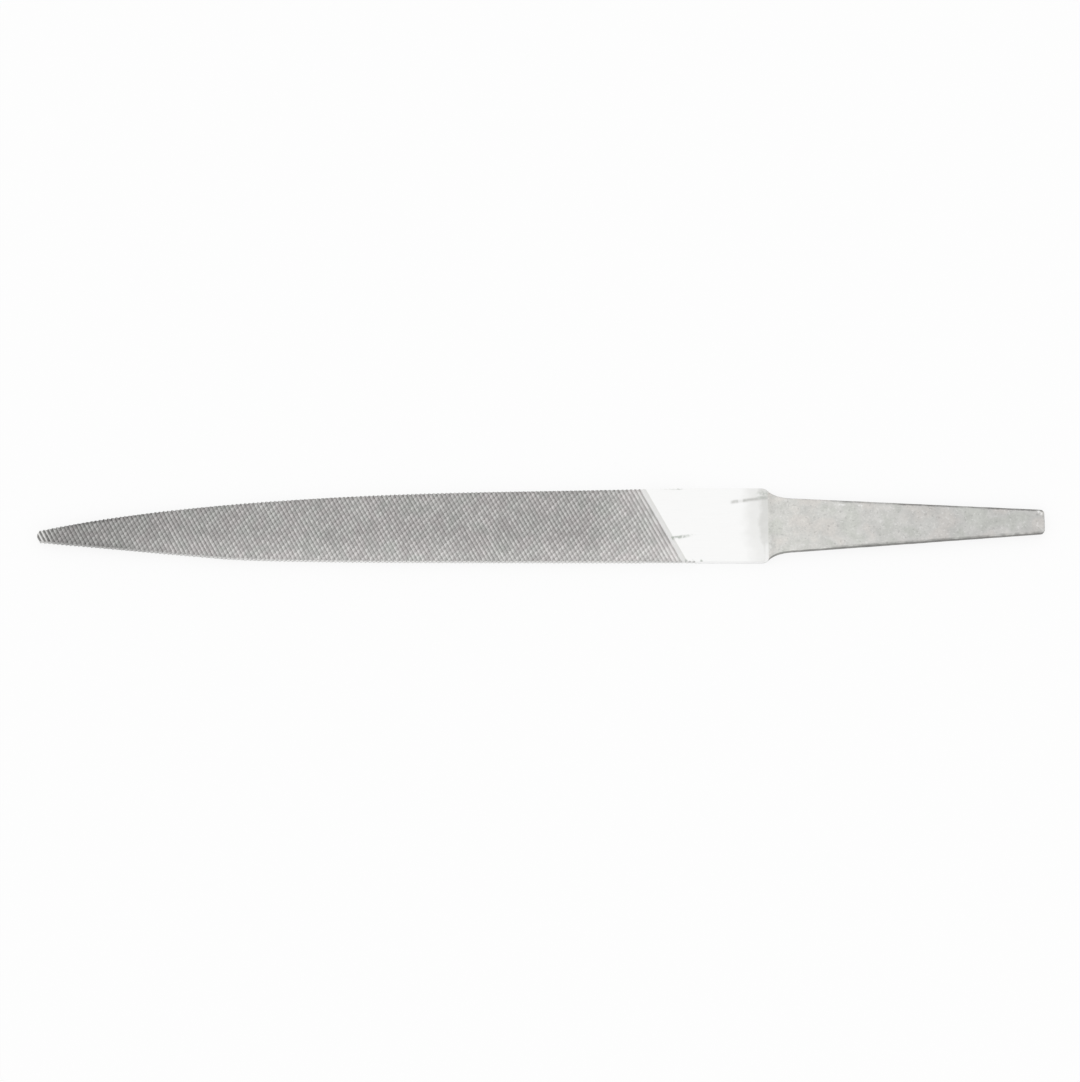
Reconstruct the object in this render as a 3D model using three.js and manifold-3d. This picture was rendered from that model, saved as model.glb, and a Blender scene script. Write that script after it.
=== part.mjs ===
// A small flat file of the narrow, pointed kind: a double-cut blade, a ground heel and a forged tang.
// The real file is one bar of steel. It is modelled as three zones that meet face to face, each with its
// own finish: the cut blade, the bare heel and the tang that a handle is driven on.
//
// Millimetres. X runs from the point to the end of the tang, Y across the file and Z through its thickness.
// While the file is being made, x is 0 at the point and z is 0 at the middle of the thickness.

import * as THREE from "three";
import { mergeVertices } from "three/addons/utils/BufferGeometryUtils.js";
import Module from "manifold-3d";

// Bar, from the point to the shoulder
const bodyLength = 100;
const bodyWidth = 10.4;
const bodyThickness = 1.3;
const pointWidth = 1.4;
const pointDrop = 1.6; // how far the middle of the point lies from the bar's middle line, towards -Y

// The two long edges. Each is straight from the heel, then curves, then is straight again to the point. A
// corner is where the two straight lines would meet, and a lean is what an edge falls in by on the first of
// them. The places are distances from the point.
const upperStraightEnd = 64;
const upperCorner = 23.7;
const upperCurveEnd = 2;
const upperLean = 0.47;
const lowerStraightEnd = 58.9;
const lowerCorner = 30.5;
const lowerCurveEnd = 24.8;
const lowerLean = 0.05;

// Cut of the two faces. The up-cut makes rows of teeth, and the over-cut before it breaks them into points.
// A pitch is measured along the bar, and a lean is the turn of the rows from square across it, in degrees.
const upCutPitch = 0.588;
const upCutLean = 28.7;
const overCutPitch = 0.909;
const overCutLean = -46.3;
const toothDepth = 0.2;
const toothRise = 0.04; // the chisel raises the tips of the teeth this far above the ground faces
const toothFrontShare = 0.25; // share of a pitch that the steep front of a tooth takes
const burrWidth = 0.3; // the last row throws up a burr on the heel, and it slopes down over this width

// Cut of the two edges, one row of teeth each
const edgeCutPitch = 0.588;
const edgeCutDepth = 0.12;

// Share of the real rows that the solid has, in every cut, so that it stays light
const rowShare = 0.5;

// Heel: ground flat, then thinned towards the shoulder, with its two corners rounded off
const heelLength = 14.3; // from the end of the teeth to the shoulder, on the bar's middle line
const bareEdgeLength = 10; // from the end of the edge teeth to the shoulder
const thinningLength = 2.8;
const shoulderThickness = 1.1;
const heelCornerLength = 0.9;
const heelCornerWidth = 0.35;

// Tang: it leaves the shoulder in two hollow curves and tapers to its end
const tangLength = 37.9;
const tangRootWidth = 7.9;
const tangEndWidth = 3.3;
const tangEndOffset = 0.53; // the tang was drawn out a little askew, towards +Y
const tangEndThickness = 0.9;
const tangChamfer = 0.16;
const hollowLength = 3.2;
const hollowCorner = 0.9;
const tangCorner = 0.6;

// How far a cutter reaches past what it cuts, and the steps of a rounded corner
const overrun = 2;
const curveSteps = 6;

const halfWidth = bodyWidth / 2;
const faceHeight = bodyThickness / 2;
const tipHeight = faceHeight + toothRise;
const rootHeight = tipHeight - toothDepth;
const cutEnd = bodyLength - heelLength;
const edgeCutEnd = bodyLength - bareEdgeLength;
const shoulderHalf = halfWidth - heelCornerWidth;
const cutterReach = bodyLength + bodyWidth;
const upwards = new THREE.Vector3(0, 0, 1);

const wasm = await Module();
wasm.setup();

// A closed geometry as a solid that can be cut and joined.
function solidFrom(geometry) {
  const bare = geometry.clone();
  bare.deleteAttribute("normal");
  bare.deleteAttribute("uv");
  const merged = mergeVertices(bare);
  const mesh = new wasm.Mesh({
    numProp: 3,
    vertProperties: merged.getAttribute("position").array,
    triVerts: new Uint32Array(merged.index.array),
  });
  return new wasm.Manifold(mesh);
}

// A solid back as a geometry, flat shaded so that teeth and corners stay crisp.
function geometryFrom(solid) {
  const mesh = solid.getMesh();
  const shared = new THREE.BufferGeometry();
  shared.setAttribute("position", new THREE.BufferAttribute(mesh.vertProperties, mesh.numProp));
  shared.setIndex(new THREE.BufferAttribute(mesh.triVerts, 1));
  const faceted = shared.toNonIndexed();
  faceted.computeVertexNormals();
  return faceted;
}

// A plan view as a plate, centred on the middle of the thickness.
function plate(plan, thickness, bevel = { bevelEnabled: false }) {
  const geometry = new THREE.ExtrudeGeometry(plan, { depth: thickness, curveSegments: curveSteps, ...bevel });
  return geometry.translate(0, 0, -thickness / 2);
}

// A side view, drawn as (distance, height) along one level direction, swept far out to both sides of it.
function sweepAcross(side, along) {
  const across = along.clone().cross(upwards);
  return plate(side, 2 * cutterReach).applyMatrix4(new THREE.Matrix4().makeBasis(along, upwards, across));
}

// The same shape on the other face, as when the file is turned over about its length.
function turnedOver(geometry) {
  return geometry.clone().scale(1, -1, -1);
}

// Both cuts are drawn square to each other: the places of the rows of the over-cut lie along X, and those
// of the up-cut along Y. This leans them to their real directions and puts their zero at the end of the cut.
function leanBothCuts(geometry) {
  const upLean = Math.tan(THREE.MathUtils.degToRad(upCutLean));
  const overLean = Math.tan(THREE.MathUtils.degToRad(overCutLean));
  const overStep = new THREE.Vector3(upLean, -1, 0).divideScalar(upLean - overLean);
  const upStep = new THREE.Vector3(-overLean, 1, 0).divideScalar(upLean - overLean);
  geometry.applyMatrix4(new THREE.Matrix4().makeBasis(overStep, upStep, upwards));
  return geometry.translate(cutEnd, 0, 0);
}

// One long edge, from the end of its teeth to the point. Side is 1 for the edge towards +Y, and -1 for the
// other one.
function longEdge(side, straightEnd, cornerAt, curveEnd, lean) {
  const slope = lean / (edgeCutEnd - straightEnd);
  const onFirstLine = (x) => new THREE.Vector2(x, side * (halfWidth - slope * (edgeCutEnd - x)));
  const corner = onFirstLine(cornerAt);
  const point = new THREE.Vector2(0, (side * pointWidth) / 2 - pointDrop);
  const lastLineStart = point.clone().lerp(corner, curveEnd / cornerAt);
  const edge = new THREE.CurvePath();
  edge.add(new THREE.LineCurve(onFirstLine(edgeCutEnd), onFirstLine(straightEnd)));
  edge.add(new THREE.QuadraticBezierCurve(onFirstLine(straightEnd), corner, lastLineStart));
  edge.add(new THREE.LineCurve(lastLineStart, point));
  return edge;
}

// The outline of a long edge with its single row of teeth, from the heel to the point. The steep front of
// each tooth looks towards the point.
function toothedEdge(edge, side) {
  const count = Math.round((edge.getLength() * rowShare) / edgeCutPitch);
  const outline = [];
  for (let tooth = 0; tooth < count; tooth++) {
    const tipAt = tooth / count;
    const rootAt = (tooth + toothFrontShare) / count;
    const along = edge.getTangentAt(rootAt);
    const inward = new THREE.Vector2(-along.y, along.x).multiplyScalar(side * edgeCutDepth);
    outline.push(edge.getPointAt(tipAt), edge.getPointAt(rootAt).add(inward));
  }
  outline.push(edge.getPointAt(1));
  return outline;
}

// The blank, from the point to the shoulder, before its faces are cut.
function makeBlank() {
  const upperEdge = longEdge(1, upperStraightEnd, upperCorner, upperCurveEnd, upperLean);
  const lowerEdge = longEdge(-1, lowerStraightEnd, lowerCorner, lowerCurveEnd, lowerLean);
  const cornerStart = bodyLength - heelCornerLength;
  const plan = new THREE.Shape();
  plan.moveTo(bodyLength, shoulderHalf);
  plan.quadraticCurveTo(bodyLength - heelCornerWidth, halfWidth, cornerStart, halfWidth);
  for (const place of [...toothedEdge(upperEdge, 1), ...toothedEdge(lowerEdge, -1).reverse()]) {
    plan.lineTo(place.x, place.y);
  }
  plan.lineTo(cornerStart, -halfWidth);
  plan.quadraticCurveTo(bodyLength - heelCornerWidth, -halfWidth, bodyLength, -shoulderHalf);
  return solidFrom(plate(plan, bodyThickness + overrun));
}

// The teeth of one face, as the two cuts leave them: a closed solid that stands on the middle plane, with a
// four-sided tooth at each crossing of the rows. A tip lies where the crests of both cuts cross.
function toothField() {
  const rowStep = upCutPitch / rowShare;
  const columnStep = overCutPitch / rowShare;
  const rows = Math.ceil(cutterReach / rowStep);
  const columns = Math.ceil(cutterReach / columnStep);
  const tipShare = 1 - toothFrontShare;
  const places = [];
  const triangles = [];
  const addPlace = (column, row, height) => {
    places.push(bodyWidth - column * columnStep, -row * rowStep, height);
    return places.length / 3 - 1;
  };

  // Roots first, as a grid, and then the tips, each joined to the four roots around it
  const roots = [];
  for (let row = 0; row <= rows; row++) {
    roots.push([]);
    for (let column = 0; column <= columns; column++) {
      roots[row].push(addPlace(column, row, rootHeight));
    }
  }
  for (let row = 0; row < rows; row++) {
    for (let column = 0; column < columns; column++) {
      const tip = addPlace(column + tipShare, row + tipShare, tipHeight);
      const [near, far] = [roots[row], roots[row + 1]];
      const foot = [near[column], near[column + 1], far[column + 1], far[column]];
      foot.forEach((root, index) => triangles.push(tip, root, foot[(index + 1) % foot.length]));
    }
  }

  // Walls from the rim of the grid down to the middle plane, and a floor that closes it there
  const corners = [[0, 0], [columns, 0], [columns, rows], [0, rows]];
  const floor = corners.map(([column, row]) => addPlace(column, row, 0));
  const walls = [
    roots[0],
    roots.map((row) => row[columns]),
    roots[rows].slice().reverse(),
    roots.map((row) => row[0]).reverse(),
  ];
  walls.forEach((wall, index) => {
    const [from, to] = [floor[index], floor[(index + 1) % floor.length]];
    wall.slice(1).forEach((root, step) => triangles.push(from, root, wall[step]));
    triangles.push(from, to, wall.at(-1));
  });
  triangles.push(floor[0], floor[2], floor[1], floor[0], floor[3], floor[2]);

  const field = new THREE.BufferGeometry();
  field.setAttribute("position", new THREE.Float32BufferAttribute(places, 3));
  field.setIndex(triangles);
  return leanBothCuts(field);
}

// One ground face of the heel, down to the middle plane, with the burr along the end of the cut.
function heelField() {
  const side = new THREE.Shape();
  side.moveTo(0, 0);
  side.lineTo(cutterReach, 0);
  side.lineTo(cutterReach, faceHeight);
  side.lineTo(burrWidth, faceHeight);
  side.lineTo(0, tipHeight);
  return leanBothCuts(sweepAcross(side, new THREE.Vector3(0, 1, 0)));
}

// What one face keeps when the bar is thinned towards the shoulder.
function thinnedFace() {
  const cutterHeight = tipHeight + overrun;
  const side = new THREE.Shape();
  side.moveTo(-cutterReach, -cutterHeight);
  side.lineTo(0, -cutterHeight);
  side.lineTo(0, shoulderThickness / 2);
  side.quadraticCurveTo(-thinningLength / 2, faceHeight, -thinningLength, faceHeight);
  side.lineTo(-thinningLength, cutterHeight);
  side.lineTo(-cutterReach, cutterHeight);
  return sweepAcross(side, new THREE.Vector3(1, 0, 0)).translate(bodyLength, 0, 0);
}

// The blade: the blank between the point and the end of the cut, toothed on both faces.
function makeBlade() {
  const upper = toothField();
  return makeBlank().intersect(solidFrom(upper).add(solidFrom(turnedOver(upper))));
}

// The heel: the blank between the end of the cut and the shoulder.
function makeHeel() {
  const upper = heelField();
  const thinned = thinnedFace();
  const ground = makeBlank().intersect(solidFrom(upper).add(solidFrom(turnedOver(upper))));
  return ground.intersect(solidFrom(thinned)).intersect(solidFrom(turnedOver(thinned)));
}

// One side of the tang's plan, from inside the heel to the end. The width at the root is where the straight
// edges reach the shoulder, and the hollow curve leads from there out to the wider heel.
function tangSide(side) {
  const onEdge = (along) => {
    const share = along / tangLength;
    const half = THREE.MathUtils.lerp(tangRootWidth, tangEndWidth, share) / 2;
    return new THREE.Vector2(bodyLength + along, tangEndOffset * share + side * half);
  };
  const shoulder = new THREE.Vector2(bodyLength, side * shoulderHalf);
  const cornerStart = onEdge(tangLength - tangCorner);
  const corner = onEdge(tangLength);
  const cornerEnd = new THREE.Vector2(corner.x, corner.y - side * tangCorner);
  const hollow = new THREE.QuadraticBezierCurve(shoulder, onEdge(hollowCorner), onEdge(hollowLength));
  const rounded = new THREE.QuadraticBezierCurve(cornerStart, corner, cornerEnd);
  const insideHeel = new THREE.Vector2(bodyLength - overrun, side * shoulderHalf);
  return [insideHeel, ...hollow.getPoints(curveSteps), ...rounded.getPoints(curveSteps)];
}

// The tang: chamfered along its edges, thinned evenly towards its end and cut off flush with the shoulder.
function makeTang() {
  const plan = new THREE.Shape([...tangSide(1), ...tangSide(-1).reverse()]);
  const chamfer = { bevelThickness: tangChamfer, bevelSize: tangChamfer, bevelOffset: -tangChamfer, bevelSegments: 1 };
  const tang = plate(plan, shoulderThickness - 2 * tangChamfer, chamfer);
  const position = tang.getAttribute("position");
  for (let index = 0; index < position.count; index++) {
    const share = (position.getX(index) - bodyLength) / tangLength;
    const thinned = THREE.MathUtils.lerp(1, tangEndThickness / shoulderThickness, share);
    position.setZ(index, position.getZ(index) * thinned);
  }
  const room = new THREE.BoxGeometry(tangLength + overrun, bodyWidth + overrun, bodyThickness + overrun);
  room.translate(bodyLength + (tangLength + overrun) / 2, 0, 0);
  return solidFrom(tang).intersect(solidFrom(room));
}

function steel(color, roughness) {
  return new THREE.MeshStandardMaterial({ color, roughness, metalness: 1 });
}

const pieces = [
  ["toothed_blade", makeBlade(), steel(0xa8a7a5, 0.45)],
  ["heel", makeHeel(), steel(0xf2f2f2, 0.3)],
  ["tang", makeTang(), steel(0xc9c9c5, 0.6)],
];
const file = new THREE.Group();
for (const [name, solid, material] of pieces) {
  const mesh = new THREE.Mesh(geometryFrom(solid), material);
  mesh.name = name;
  file.add(mesh);
}
file.position.set(-(bodyLength + tangLength) / 2, 0, tipHeight);

export default file;
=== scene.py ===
"""Looks of a small pointed flat file: a double-cut blade, a ground heel and a forged tang.

Metres. X runs from the point to the end of the tang, Y across the file and Z up through its thickness.
Places along the file are given as distances from its point, and heights from the middle of its thickness.
"""

import logging
import math
import random
from abc import ABC, abstractmethod
from collections.abc import Iterable, Mapping, Sequence
from dataclasses import dataclass, field
from enum import Enum

import bmesh
import bpy
from mathutils import Matrix, Vector, kdtree, noise


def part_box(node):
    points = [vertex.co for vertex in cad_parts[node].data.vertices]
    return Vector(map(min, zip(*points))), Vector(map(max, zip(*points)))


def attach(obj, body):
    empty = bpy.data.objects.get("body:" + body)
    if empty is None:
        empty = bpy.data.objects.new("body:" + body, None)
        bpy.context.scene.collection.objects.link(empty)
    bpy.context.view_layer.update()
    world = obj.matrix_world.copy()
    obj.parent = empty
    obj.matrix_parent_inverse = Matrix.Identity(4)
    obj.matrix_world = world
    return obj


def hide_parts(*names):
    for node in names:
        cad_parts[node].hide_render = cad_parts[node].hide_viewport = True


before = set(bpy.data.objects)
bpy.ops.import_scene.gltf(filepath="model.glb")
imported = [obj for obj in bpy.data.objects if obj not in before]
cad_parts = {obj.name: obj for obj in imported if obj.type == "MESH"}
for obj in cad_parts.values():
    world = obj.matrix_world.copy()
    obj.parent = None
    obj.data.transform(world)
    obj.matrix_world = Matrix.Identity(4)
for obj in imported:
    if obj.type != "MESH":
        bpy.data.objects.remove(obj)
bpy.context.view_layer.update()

MM = 0.001
LEVEL = MM / 100
TOUCHING = 1e-7
log = logging.getLogger("flat_file")

Colour = tuple[float, float, float]
Pair = tuple[float, float]


class Face(Enum):
    """The two broad faces of the file. A value is 1 for the face that looks up and -1 for the other one."""

    UPPER = 1
    LOWER = -1


class Edge(Enum):
    """The two long edges of the file. A value is 1 for the edge towards +Y and -1 for the other one."""

    FAR = 1
    NEAR = -1


class Room(Enum):
    """What lies on either side of the slanting line where a cut ends. A value is the way to it along X."""

    HEEL = 1
    TEETH = -1


class Blend(Enum):
    """The ways in which two colours are mixed."""

    MIX = "MIX"
    MULTIPLY = "MULTIPLY"


class Mark(Enum):
    """What the points of a piece store for its finish."""

    EDGE_ROOT = "edge_root"
    EDGE_DIRT = "edge_dirt"
    SIDE = "side"

    def store(self, piece: bpy.types.Object, values: Sequence[float]) -> None:
        """Store one value for each point of a piece."""
        piece.data.attributes.new(self.value, "FLOAT", "POINT").data.foreach_set("value", values)


@dataclass(frozen=True)
class Ramp:
    """A smooth passage between two levels.

    The first one holds where a value is at the start, and the last one where it is at the end, which may
    lie below the start.
    """

    start: float
    end: float
    first: float = 0.0
    last: float = 1.0


@dataclass(frozen=True)
class Pattern:
    """A cloudy pattern: the size of its clouds, how many finer layers it has and how strong these are.

    It runs from 0 to 1, unless it has a ramp that it is led through or two levels that it lies between.
    """

    cloud: float
    detail: float = 2.0
    roughness: float = 0.5
    ramp: Ramp | None = None
    levels: Pair | None = None
    stretch: tuple[float, float, float] = (1.0, 1.0, 1.0)

    @property
    def scale(self) -> Vector:
        """Return how many clouds a metre holds along X, Y and Z."""
        return Vector([1 / (self.cloud * part) for part in self.stretch])


@dataclass(frozen=True)
class Cover:
    """Cloudy patches of a second colour or tint."""

    patches: Pattern
    colour: Colour
    way: Blend = Blend.MIX


@dataclass(frozen=True)
class Spot:
    """A long soft mark on the upper face, such as a scratch, a smear or a fleck, with a broken edge."""

    x: float
    y: float
    half_length: float
    half_width: float
    strength: float
    turn: float = 0.0
    half_height: float = 0.3 * MM
    fade: Ramp = Ramp(1.0, 0.2)
    edge: Pattern = Pattern(0.4 * MM, 3.0, ramp=Ramp(0.35, 0.6))

    @property
    def sizes(self) -> Vector:
        """Return the half length, width and height."""
        return Vector((self.half_length, self.half_width, self.half_height))


@dataclass(frozen=True)
class Socket:
    """The output of a node, which takes part in sums as a number does. Each sum adds its Math node."""

    shader: "Shader"
    link: bpy.types.NodeSocket

    def math(self, operation: str, *others: "Socket | float") -> "Socket":
        """Work out a sum with this output as its first value and the others as the next ones."""
        sockets = dict(enumerate((self, *others)))
        return self.shader.node("ShaderNodeMath", {"operation": operation}, sockets).out()

    def __add__(self, other: "Socket | float") -> "Socket":
        """Return self + other."""
        return self.math("ADD", other)

    def __sub__(self, other: "Socket | float") -> "Socket":
        """Return self - other."""
        return self.math("SUBTRACT", other)

    def __rsub__(self, other: float) -> "Socket":
        """Return other - self."""
        return self.math("MULTIPLY", -1.0).math("ADD", other)

    def __mul__(self, other: "Socket | float") -> "Socket":
        """Return self * other."""
        return self.math("MULTIPLY", other)

    def __truediv__(self, other: "Socket | float") -> "Socket":
        """Return self / other."""
        return self.math("DIVIDE", other)

    __radd__ = __add__
    __rmul__ = __mul__

    def __abs__(self) -> "Socket":
        """Return the value without its sign."""
        return self.math("ABSOLUTE")

    def sign(self) -> "Socket":
        """Return 1 above zero and -1 below it."""
        return self.math("SIGN")

    def floor(self) -> "Socket":
        """Return the whole number at or below the value."""
        return self.math("FLOOR")

    def fraction(self) -> "Socket":
        """Return what the value has past its whole number."""
        return self.math("FRACT")

    def between(self, first: float, last: float) -> "Socket":
        """Turn a share from 0 to 1 into a level from the first to the last."""
        return self * (last - first) + first

    def ramp(self, ramp: Ramp) -> "Socket":
        """Lead the value through a smooth passage.

        Args:
            ramp: the passage.

        Returns:
            The level that it gives.
        """
        (low, at_low), (high, at_high) = sorted(((ramp.start, ramp.first), (ramp.end, ramp.last)))
        sockets = {"Value": self, "From Min": low, "From Max": high, "To Min": at_low, "To Max": at_high}
        return self.shader.node("ShaderNodeMapRange", {"interpolation_type": "SMOOTHSTEP"}, sockets).out()


@dataclass(frozen=True)
class Node:
    """A shader node whose outputs are read as Sockets."""

    shader: "Shader"
    made: bpy.types.Node

    def out(self, name: str | int = 0) -> Socket:
        """Return the output of that name or number."""
        return Socket(self.shader, self.made.outputs[name])


@dataclass(frozen=True)
class Layer:
    """A colour that covers or tints those below it, and how much of it is taken."""

    share: Socket
    colour: Socket | Colour
    way: Blend = Blend.MIX


class Shader:
    """The node tree of a material or of the world, and the one method that adds nodes to it."""

    GRAZING_TINT = (0.9, 0.9, 0.9)
    CHANNELS = ("Red", "Green", "Blue")

    def __init__(self, tree: bpy.types.NodeTree) -> None:
        """Keep a tree and empty it, so that it can be filled."""
        self.tree = tree
        tree.nodes.clear()

    def node(
        self,
        kind: str,
        settings: Mapping[str, object] | None = None,
        sockets: Mapping[str | int, object] | None = None,
    ) -> Node:
        """Add a node.

        Args:
            kind: the node's type.
            settings: its own settings. They are made first, because some of them change its sockets.
            sockets: a value or a Socket for each input that is set.

        Returns:
            The node.
        """
        made = self.tree.nodes.new(kind)
        for name, value in (settings or {}).items():
            setattr(made, name, value)
        for name, value in (sockets or {}).items():
            if isinstance(value, Socket):
                self.tree.links.new(value.link, made.inputs[name])
            else:
                made.inputs[name].default_value = value
        return Node(self, made)

    def mix(
        self, share: Socket | float, first: Socket | Colour, second: Socket | Colour, way: Blend = Blend.MIX
    ) -> Socket:
        """Mix two colours.

        Args:
            share: how much of the second colour is taken.
            first: the first colour.
            second: the second colour.
            way: how they are mixed.

        Returns:
            The mixed colour.
        """
        settings = {"data_type": "RGBA", "blend_type": way.value, "clamp_factor": True}
        node = self.node("ShaderNodeMix", settings)
        for name, value in (("Factor_Float", share), ("A_Color", first), ("B_Color", second)):
            socket = next(entry for entry in node.made.inputs if entry.identifier == name)
            if isinstance(value, Socket):
                self.tree.links.new(value.link, socket)
            else:
                socket.default_value = value if isinstance(value, float) else (*value, 1.0)
        output = next(entry for entry in node.made.outputs if entry.identifier == "Result_Color")
        return Socket(self, output)

    def layered(self, colour: Socket, layers: Iterable[Layer]) -> Socket:
        """Lay several layers over a colour.

        Args:
            colour: the colour below them.
            layers: the layers, the lowest one first.

        Returns:
            The colour that is seen.
        """
        for layer in layers:
            colour = self.mix(layer.share, colour, layer.colour, layer.way)
        return colour

    def shade(self, colour: Socket | Colour, level: Socket) -> Socket:
        """Multiply a colour by a number."""
        grey = self.node("ShaderNodeCombineColor", sockets=dict.fromkeys(self.CHANNELS, level)).out()
        return self.mix(1.0, colour, grey, Blend.MULTIPLY)

    def mark(self, mark: Mark) -> Socket:
        """Read what the points of the piece store."""
        return self.node("ShaderNodeAttribute", {"attribute_name": mark.value}).out("Fac")

    def noise(self, vector: Socket, pattern: Pattern) -> Socket:
        """Read a cloudy pattern.

        Args:
            vector: the place that it is read at.
            pattern: the pattern.

        Returns:
            Its value there.
        """
        factors = {0: vector, 1: pattern.scale}
        scaled = self.node("ShaderNodeVectorMath", {"operation": "MULTIPLY"}, factors).out()
        sockets = {"Vector": scaled, "Scale": 1.0, "Detail": pattern.detail, "Roughness": pattern.roughness}
        value = self.node("ShaderNodeTexNoise", sockets=sockets).out("Fac")
        if pattern.ramp is not None:
            value = value.ramp(pattern.ramp)
        return value if pattern.levels is None else value.between(*pattern.levels)

    def bump(self, height: Socket, reach: float, strength: float) -> Socket:
        """Turn a height from 0 to 1, which stands out that far in metres, into a surface direction."""
        sockets = {"Height": height, "Distance": reach, "Strength": strength}
        return self.node("ShaderNodeBump", sockets=sockets).out("Normal")

    def steel(self, colour: Socket, roughness: Socket, normal: Socket) -> None:
        """End the tree with bare metal.

        Args:
            colour: the colour of its reflections.
            roughness: how dull it is.
            normal: the surface direction.
        """
        grazing = (*self.GRAZING_TINT, 1.0)
        sockets = {"Base Color": colour, "Metallic": 1.0, "Roughness": roughness, "Specular Tint": grazing}
        sockets["Normal"] = normal
        surface = self.node("ShaderNodeBsdfPrincipled", sockets=sockets).out()
        self.node("ShaderNodeOutputMaterial", sockets={"Surface": surface})


def new_shader(name: str) -> tuple[bpy.types.Material, Shader]:
    """Make an empty material.

    Args:
        name: its name.

    Returns:
        The material and its node tree.
    """
    material = bpy.data.materials.new(name)
    material.use_nodes = True
    return material, Shader(material.node_tree)


@dataclass(frozen=True)
class Bar:
    """Where the solids put the bar of steel that the whole file is made of."""

    point: float
    shoulder: float
    tang_end: float
    middle: float
    half_width: float
    tip_height: float
    thickness: float = 1.3 * MM

    @classmethod
    def from_frame(cls) -> "Bar":
        """Read the bar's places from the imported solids.

        Returns:
            The bar.
        """
        blade_low, blade_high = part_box("toothed_blade")
        tang_low, tang_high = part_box("tang")
        heel_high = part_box("heel")[1]
        middle = (blade_low.z + blade_high.z) / 2
        return cls(blade_low.x, tang_low.x, tang_high.x, middle, heel_high.y, blade_high.z - middle)

    @property
    def body_length(self) -> float:
        """Return the length from the point to the shoulder."""
        return self.shoulder - self.point

    @property
    def tang_length(self) -> float:
        """Return the length from the shoulder to the end of the tang."""
        return self.tang_end - self.shoulder

    @property
    def face_height(self) -> float:
        """Return the height of the ground faces over the middle of the bar."""
        return self.thickness / 2

    def origin(self, height: float = 0.0) -> Vector:
        """Return where the point of the file lies, at a height over the middle of the bar."""
        return Vector((self.point, 0, self.middle + height))

    def set_down(self, piece: bpy.types.Object) -> None:
        """Move the mesh of a piece from the bar's own places to where the file lies."""
        piece.data.transform(Matrix.Translation(self.origin()))


@dataclass(frozen=True)
class Place:
    """Where a spot of the surface lies, as a finish reads it.

    Across is Y turned over with the lower face, so that both faces look alike.
    """

    shader: Shader
    vector: Socket
    from_point: Socket
    from_shoulder: Socket
    y: Socket
    height: Socket
    across: Socket

    @classmethod
    def read(cls, shader: Shader, bar: Bar) -> "Place":
        """Read the place in a material.

        Args:
            shader: the material.
            bar: the bar that the spot lies on.

        Returns:
            The place.
        """
        vector = shader.node("ShaderNodeTexCoord").out("Object")
        parts = shader.node("ShaderNodeSeparateXYZ", sockets={"Vector": vector})
        x, y = parts.out("X"), parts.out("Y")
        height = parts.out("Z") - bar.middle
        return cls(shader, vector, x - bar.point, x - bar.shoulder, y, height, y * height.sign())

    def noise(self, pattern: Pattern) -> Socket:
        """Read a cloudy pattern here."""
        return self.shader.noise(self.vector, pattern)

    def covers(self, covers: Iterable[Cover]) -> list[Layer]:
        """Return the layers that cloudy patches make here."""
        return [Layer(self.noise(cover.patches), cover.colour, cover.way) for cover in covers]

    def spots(self, spots: Iterable[Spot], colour: Colour, origin: Vector) -> list[Layer]:
        """Work out the layers that soft spots make here.

        Args:
            spots: the spots.
            colour: their colour.
            origin: where the point of the file lies, at the height of the face that bears them.

        Returns:
            One layer for each spot.
        """
        layers = []
        for spot in spots:
            ends = {0: self.vector, 1: origin + Vector((spot.x, spot.y, 0))}
            moved = self.shader.node("ShaderNodeVectorMath", {"operation": "SUBTRACT"}, ends).out()
            rotation = Vector((0, 0, math.radians(spot.turn)))
            placing = {"Vector": moved, "Rotation": rotation, "Scale": spot.sizes}
            turned = self.shader.node("ShaderNodeMapping", {"vector_type": "TEXTURE"}, placing).out()
            length = self.shader.node("ShaderNodeVectorMath", {"operation": "LENGTH"}, {0: turned})
            share = length.out("Value").ramp(spot.fade) * self.noise(spot.edge) * spot.strength
            layers.append(Layer(share, colour))
        return layers


@dataclass(frozen=True)
class Cut:
    """One of the two cuts of a face: rows of teeth that lean across the bar.

    A pitch is measured along the bar, and a lean is the turn of the rows from square across it.
    """

    pitch: float
    lean: float
    depth: float

    @property
    def slope(self) -> float:
        """Return how far a row runs along the bar for each step across it."""
        return math.tan(math.radians(self.lean))


@dataclass(frozen=True)
class Cutting:
    """How both faces are cut. A real file has a deep up-cut over a shallow over-cut."""

    bar: Bar
    heel_length: float = 14.3 * MM
    up: Cut = Cut(0.588 * MM, 28.7, 0.15 * MM)
    over: Cut = Cut(0.909 * MM, -46.3, 0.09 * MM)
    front_share: float = 0.25
    over_cut_stop: float = 0.9 * MM
    over_cut_fade: float = 2.6 * MM
    point_wear: float = 1.4 * MM
    worn_share: float = 0.55

    @property
    def end(self) -> float:
        """Return how far from the point both cuts end, on the middle line of the bar."""
        return self.bar.body_length - self.heel_length

    @property
    def depth(self) -> float:
        """Return the depth of both cuts together."""
        return self.up.depth + self.over.depth

    @property
    def root_height(self) -> float:
        """Return the height of the deepest roots over the middle of the bar."""
        return self.bar.tip_height - self.depth

    @property
    def step(self) -> float:
        """Return the difference of the two slopes, which the crossings of the rows follow."""
        return self.up.slope - self.over.slope

    def crossing(self, up_at: float, over_at: float) -> Vector:
        """Find where two rows cross, given how far from the end of the cut each meets the middle line."""
        along = (over_at * self.up.slope - up_at * self.over.slope) / self.step
        return Vector((self.end + along, (up_at - over_at) / self.step, 0))

    def past_end(self, place: Place, cut: Cut) -> Socket:
        """Tell how far past the end of the cuts a spot lies along the bar, as the rows of a cut lean."""
        return place.from_point - self.end + place.across * cut.slope


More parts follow.
